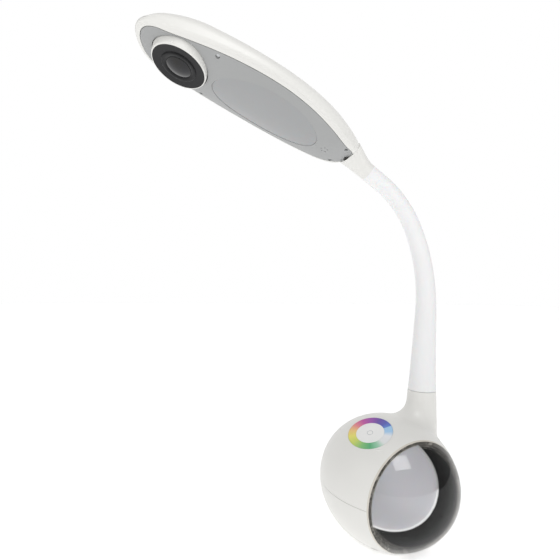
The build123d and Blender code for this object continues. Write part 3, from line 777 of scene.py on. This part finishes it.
def touch_face(name):
    """White disc with a faint ring mark in the middle."""
    made = Finish(name)
    low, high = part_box("touch_disc")
    centre = (Vector(low) + Vector(high)) / 2
    reach = made.node(
        "ShaderNodeVectorMath", {"operation": "DISTANCE"}, {0: made.place(), 1: centre}, "Value"
    )
    mark = (reach > 2.3 * MM) * (reach < 2.75 * MM)
    clouds = made.noise(12.0)
    white = made.mix(clouds, (0.80, 0.80, 0.79, 1), (0.84, 0.84, 0.83, 1))
    made.put(
        Base_Color=made.mix(mark, white, (0.45, 0.46, 0.48, 1)),
        Roughness=0.34 + clouds * 0.06, Coat_Weight=0.25,
    )
    made.relief(made.noise(0.4), 0.006)
    return made


def clear_dome(name):
    """Thin clear moulding: see-through, shiny at a slant, with painted dark refractions as darker
    bands near its edge.
    """
    made = Finish(name)
    nodes, links = made.tree.nodes, made.tree.links
    wave = made.noise(16.0, 1.0)
    # noise that breaks the painted dark refractions into bands
    painted_refraction_bands = made.noise(30.0, 1.0, stretch=(1.0, 1.0, 0.6))
    slant = made.node("ShaderNodeLayerWeight", None, {"Blend": 0.5}, "Facing")
    shine = made.node("ShaderNodeLayerWeight", None, {"Blend": 0.28}, "Fresnel")
    made.put(
        # this dark base colour is the painted refraction; it shows only where the mask below lets
        # it through
        Base_Color=made.mix(wave, (0.10, 0.10, 0.095, 1), (0.30, 0.30, 0.29, 1)),
        Roughness=0.05 + wave * 0.03, Coat_Weight=1.0, Coat_Roughness=0.02,
    )
    clear, gloss = nodes.new("ShaderNodeBsdfTransparent"), nodes.new("ShaderNodeBsdfGlossy")
    clear.inputs["Color"].default_value = (0.985, 0.985, 0.985, 1)
    gloss.inputs["Roughness"].default_value = 0.03
    outer, inner = nodes.new("ShaderNodeMixShader"), nodes.new("ShaderNodeMixShader")
    # mask of the painted dark refractions: near the rim, where the surface is seen at a slant
    edge = (slant - 0.80) * 6.0
    edge = edge.step("MAXIMUM", edge, 0.0)
    edge = edge * (painted_refraction_bands - 0.36) * 4.0
    edge = edge.step("MINIMUM", edge.step("MAXIMUM", edge, 0.0), 0.75)
    links.new(shine.socket, inner.inputs[0])
    links.new(clear.outputs[0], inner.inputs[1])
    links.new(gloss.outputs[0], inner.inputs[2])
    links.new(edge.socket, outer.inputs[0])
    links.new(inner.outputs[0], outer.inputs[1])
    links.new(made.shader.outputs[0], outer.inputs[2])
    links.new(outer.outputs[0], nodes["Material Output"].inputs["Surface"])
    made.relief(wave, 0.02)
    return made


def lens_coating(name):
    """Dark glass whose coating shifts from blue to olive across its face."""
    made = Finish(name)
    shift = made.noise(7.0, 1.0)
    made.put(
        Base_Color=made.mix(shift, (0.004, 0.006, 0.014, 1), (0.014, 0.011, 0.005, 1)),
        Roughness=0.05 + shift * 0.03, Coat_Weight=0.15, Coat_Roughness=0.02,
        Specular_IOR_Level=0.35,
    )
    made.relief(shift, 0.01)
    return made


def metal(name, colour, roughness, **constants):
    """Turned or plated metal: fine lines and stains."""
    made = Finish(name)
    lines = made.noise(0.25, 2.0, stretch=(1.0, 1.0, 6.0))
    stain = made.noise(4.0, 4.0)
    made.put(
        Base_Color=made.mix(stain, shade(colour, 0.82), shade(colour, 1.06)),
        Roughness=roughness + stain * 0.12, Metallic=1.0, **constants,
    )
    made.relief(lines, 0.008)
    return made


def board(name, colour):
    """Circuit board: solder resist over faint copper runs."""
    made = Finish(name)
    runs = made.node(
        "ShaderNodeTexBrick", {"offset": 0.35},
        {"Vector": made.place(), "Scale": 130.0, "Mortar Size": 0.012,
         "Color1": shade(colour, 1.0), "Color2": shade(colour, 0.86),
         "Mortar": shade(colour, 1.35)},
        "Color",
    )
    made.put(Base_Color=runs, Roughness=0.36 + made.noise(2.0) * 0.1, Coat_Weight=0.3)
    made.relief(made.noise(0.6), 0.01)
    return made


MAKERS = {
    "white_shell": lambda n: moulded(
        n, (0.735, 0.73, 0.705), 0.36, depth=0.006, cloud=0.015, Specular_IOR_Level=0.45),
    "white_sleeve": lambda n: moulded(
        n, (0.80, 0.80, 0.805), 0.52, grain=0.6, depth=0.012, cloud=0.01,
        Subsurface_Weight=0.08, Subsurface_Scale=0.002),
    # head_underside: mid grey in place of the white plastic's shade on the downward face, painted
    # shade
    "head_underside": lambda n: moulded(
        n, (0.33, 0.335, 0.335), 0.42, depth=0.008, cloud=0.03),
    "diffuser": lambda n: moulded(
        n, (0.70, 0.69, 0.73), 0.45, grain=0.8, depth=0.006, cloud=0.01,
        Subsurface_Weight=0.2, Subsurface_Scale=0.004),
    "clear_dome": clear_dome,
    # panel: grey in place of the light panel's shade as it faces down, painted shade
    "panel": lambda n: moulded(
        n, (0.315, 0.32, 0.325), 0.3, grain=0.8, depth=0.004, cloud=0.015,
        Subsurface_Weight=0.1, Subsurface_Scale=0.002),
    "trim": lambda n: moulded(n, (0.62, 0.585, 0.52), 0.3, depth=0.005, cloud=0.02),
    "black_gloss": lambda n: moulded(
        n, (0.008, 0.008, 0.009), 0.3, depth=0.002, cloud=0.2, rough_cloud=0.05,
        Specular_IOR_Level=0.18),
    "black_matt": lambda n: moulded(n, (0.02, 0.02, 0.021), 0.6, cloud=0.15),
    "lens_glass": lens_coating,
    "colour_ring": colour_wheel,
    "touch_white": touch_face,
    "steel": lambda n: metal(n, (0.56, 0.57, 0.58), 0.25),
    "ballast_iron": lambda n: metal(n, (0.16, 0.155, 0.15), 0.5),
    "foot_rubber": lambda n: moulded(n, (0.045, 0.045, 0.047), 0.75, grain=0.8, depth=0.04,
                                     cloud=0.12),
    "board_green": lambda n: board(n, (0.02, 0.12, 0.05)),
    "board_white": lambda n: board(n, (0.74, 0.75, 0.73)),
    "led_yellow": lambda n: moulded(n, (0.82, 0.62, 0.10), 0.4, grain=0.3, cloud=0.08),
    "brass": lambda n: metal(n, (0.72, 0.52, 0.22), 0.3),
    "wire_grey": lambda n: moulded(n, (0.24, 0.24, 0.25), 0.5, grain=0.5, depth=0.02, cloud=0.1),
}
MADE = {}
# light_panel takes the grey panel finish, which is painted shade
NODE_FINISHES = {"light_panel": "panel"}


def finish(slot):
    """The material of a slot, made once."""
    if slot not in MADE:
        MADE[slot] = MAKERS[slot]("finish_" + slot).material
    return MADE[slot]


class DOCCAM_OT_finishes(Operator):
    """Better materials on every node of the frame"""

    bl_idname = "doccam.finishes"
    bl_label = "Finishes"

    def execute(self, context):
        for part in frame["record"]["subparts"]:
            mesh = frame["nodes"][part["node"]].data
            mesh.materials.clear()
            name = NODE_FINISHES.get(part["node"], part["material_slot"])
            mesh.materials.append(finish(name))
        return {"FINISHED"}


# ---------- stage ----------
def area_light(name, place, target, size, watts, colour):
    light = bpy.data.lights.new(name, "AREA")
    light.shape, light.size, light.size_y = "RECTANGLE", size[0], size[1]
    light.energy, light.color = watts, colour
    lamp = bpy.data.objects.new(name, light)
    bpy.context.scene.collection.objects.link(lamp)
    way = Vector(target) - Vector(place)
    lamp.matrix_world = (
        Matrix.Translation(place) @ way.to_track_quat("-Z", "Y").to_matrix().to_4x4()
    )
    return lamp


def stage_floor(width):
    mesh = bpy.data.meshes.new("floor")
    half = width / 2
    corners = [(-half, -half, 0), (half, -half, 0), (half, half, 0), (-half, half, 0)]
    mesh.from_pydata(corners, [], [(0, 1, 2, 3)])
    floor = bpy.data.objects.new("floor", mesh)
    bpy.context.scene.collection.objects.link(floor)
    made = Finish("floor_paper")
    clouds = made.noise(300.0, 2.0)
    made.put(
        Base_Color=made.mix(clouds, (0.93, 0.93, 0.93, 1), (0.95, 0.95, 0.95, 1)),
        Roughness=0.8 + clouds * 0.1, Emission_Color=(1, 1, 1, 1), Emission_Strength=0.42,
    )
    mesh.materials.append(made.material)


def stage_world():
    """White behind the object, and a dimmer room all round it."""
    world = bpy.data.worlds.new("studio")
    world.use_nodes = True
    tree = world.node_tree
    way = tree.nodes.new("ShaderNodeTexCoord").outputs["Generated"]
    dot = tree.nodes.new("ShaderNodeVectorMath")
    dot.operation = "DOT_PRODUCT"
    tree.links.new(way, dot.inputs[0])
    dot.inputs[1].default_value = VIEW_FORWARD
    facing = Value(tree, dot.outputs["Value"])
    white = facing.step("MINIMUM", (facing - 0.30) / 0.25, 1.0)
    white = white.step("MAXIMUM", white, 0.0)
    level = white * (1.0 - ROOM_LIGHT) + ROOM_LIGHT
    tree.links.new(level.socket, tree.nodes["Background"].inputs["Strength"])
    tree.nodes["Background"].inputs["Color"].default_value = (1, 1, 1, 1)
    bpy.context.scene.world = world


class DOCCAM_OT_stage(Operator):
    """Floor, soft lights and the camera"""

    bl_idname = "doccam.stage"
    bl_label = "Stage"

    def execute(self, context):
        settings, scene = context.scene.doccam_stage, context.scene
        stage_floor(settings.floor)
        stage_world()
        area_light("key", (0.7, -0.1, 0.9), (0, 0, 0.1), (0.5, 0.4), 3.2, (1, 1, 1))
        area_light("fill", (0.3, -1.1, 0.5), (0, 0, 0.2), (0.9, 0.7), 1.6, (1, 0.99, 0.97))
        camera = bpy.data.objects.new("view", bpy.data.cameras.new("view"))
        scene.collection.objects.link(camera)
        up = VIEW_RIGHT.cross(VIEW_FORWARD).normalized()
        right = VIEW_FORWARD.cross(up)
        turn = Matrix((right, up, -VIEW_FORWARD)).transposed().to_4x4()
        camera.matrix_world = Matrix.Translation(VIEW_PLACE) @ turn
        camera.data.lens, camera.data.sensor_width = settings.lens, 36.0
        camera.data.shift_x, camera.data.shift_y = settings.shift_x, settings.shift_y
        camera.data.clip_start, camera.data.clip_end = 0.01, 60.0
        scene.camera = camera
        scene.view_settings.view_transform = "Standard"
        return {"FINISHED"}


# ---------- add-on ----------
STEPS = ("finishes", "neck", "collar", "top_shell", "plate", "camera", "stage")


class DOCCAM_PT_build(Panel):
    """Lists the building steps"""

    bl_idname = "DOCCAM_PT_build"
    bl_label = "Document camera"
    bl_space_type = "VIEW_3D"
    bl_region_type = "UI"
    bl_category = "Document camera"

    def draw(self, context):
        for step in STEPS:
            self.layout.operator("doccam." + step)


GROUPS = {
    "doccam_neck": DOCCAM_PG_neck,
    "doccam_head": DOCCAM_PG_head,
    "doccam_camera": DOCCAM_PG_camera,
    "doccam_stage": DOCCAM_PG_stage,
}
CLASSES = (
    *GROUPS.values(), DOCCAM_OT_finishes, DOCCAM_OT_neck, DOCCAM_OT_collar, DOCCAM_OT_top_shell,
    DOCCAM_OT_plate, DOCCAM_OT_camera, DOCCAM_OT_stage, DOCCAM_PT_build,
)


def register():
    for item in CLASSES:
        bpy.utils.register_class(item)
    for name, group in GROUPS.items():
        setattr(bpy.types.Scene, name, PointerProperty(type=group))


def unregister():
    for name in GROUPS:
        delattr(bpy.types.Scene, name)
    for item in reversed(CLASSES):
        bpy.utils.unregister_class(item)


def main():
    register()
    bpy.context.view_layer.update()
    for step in STEPS:
        getattr(bpy.ops.doccam, step)()


if __name__ == "__main__":
    main()
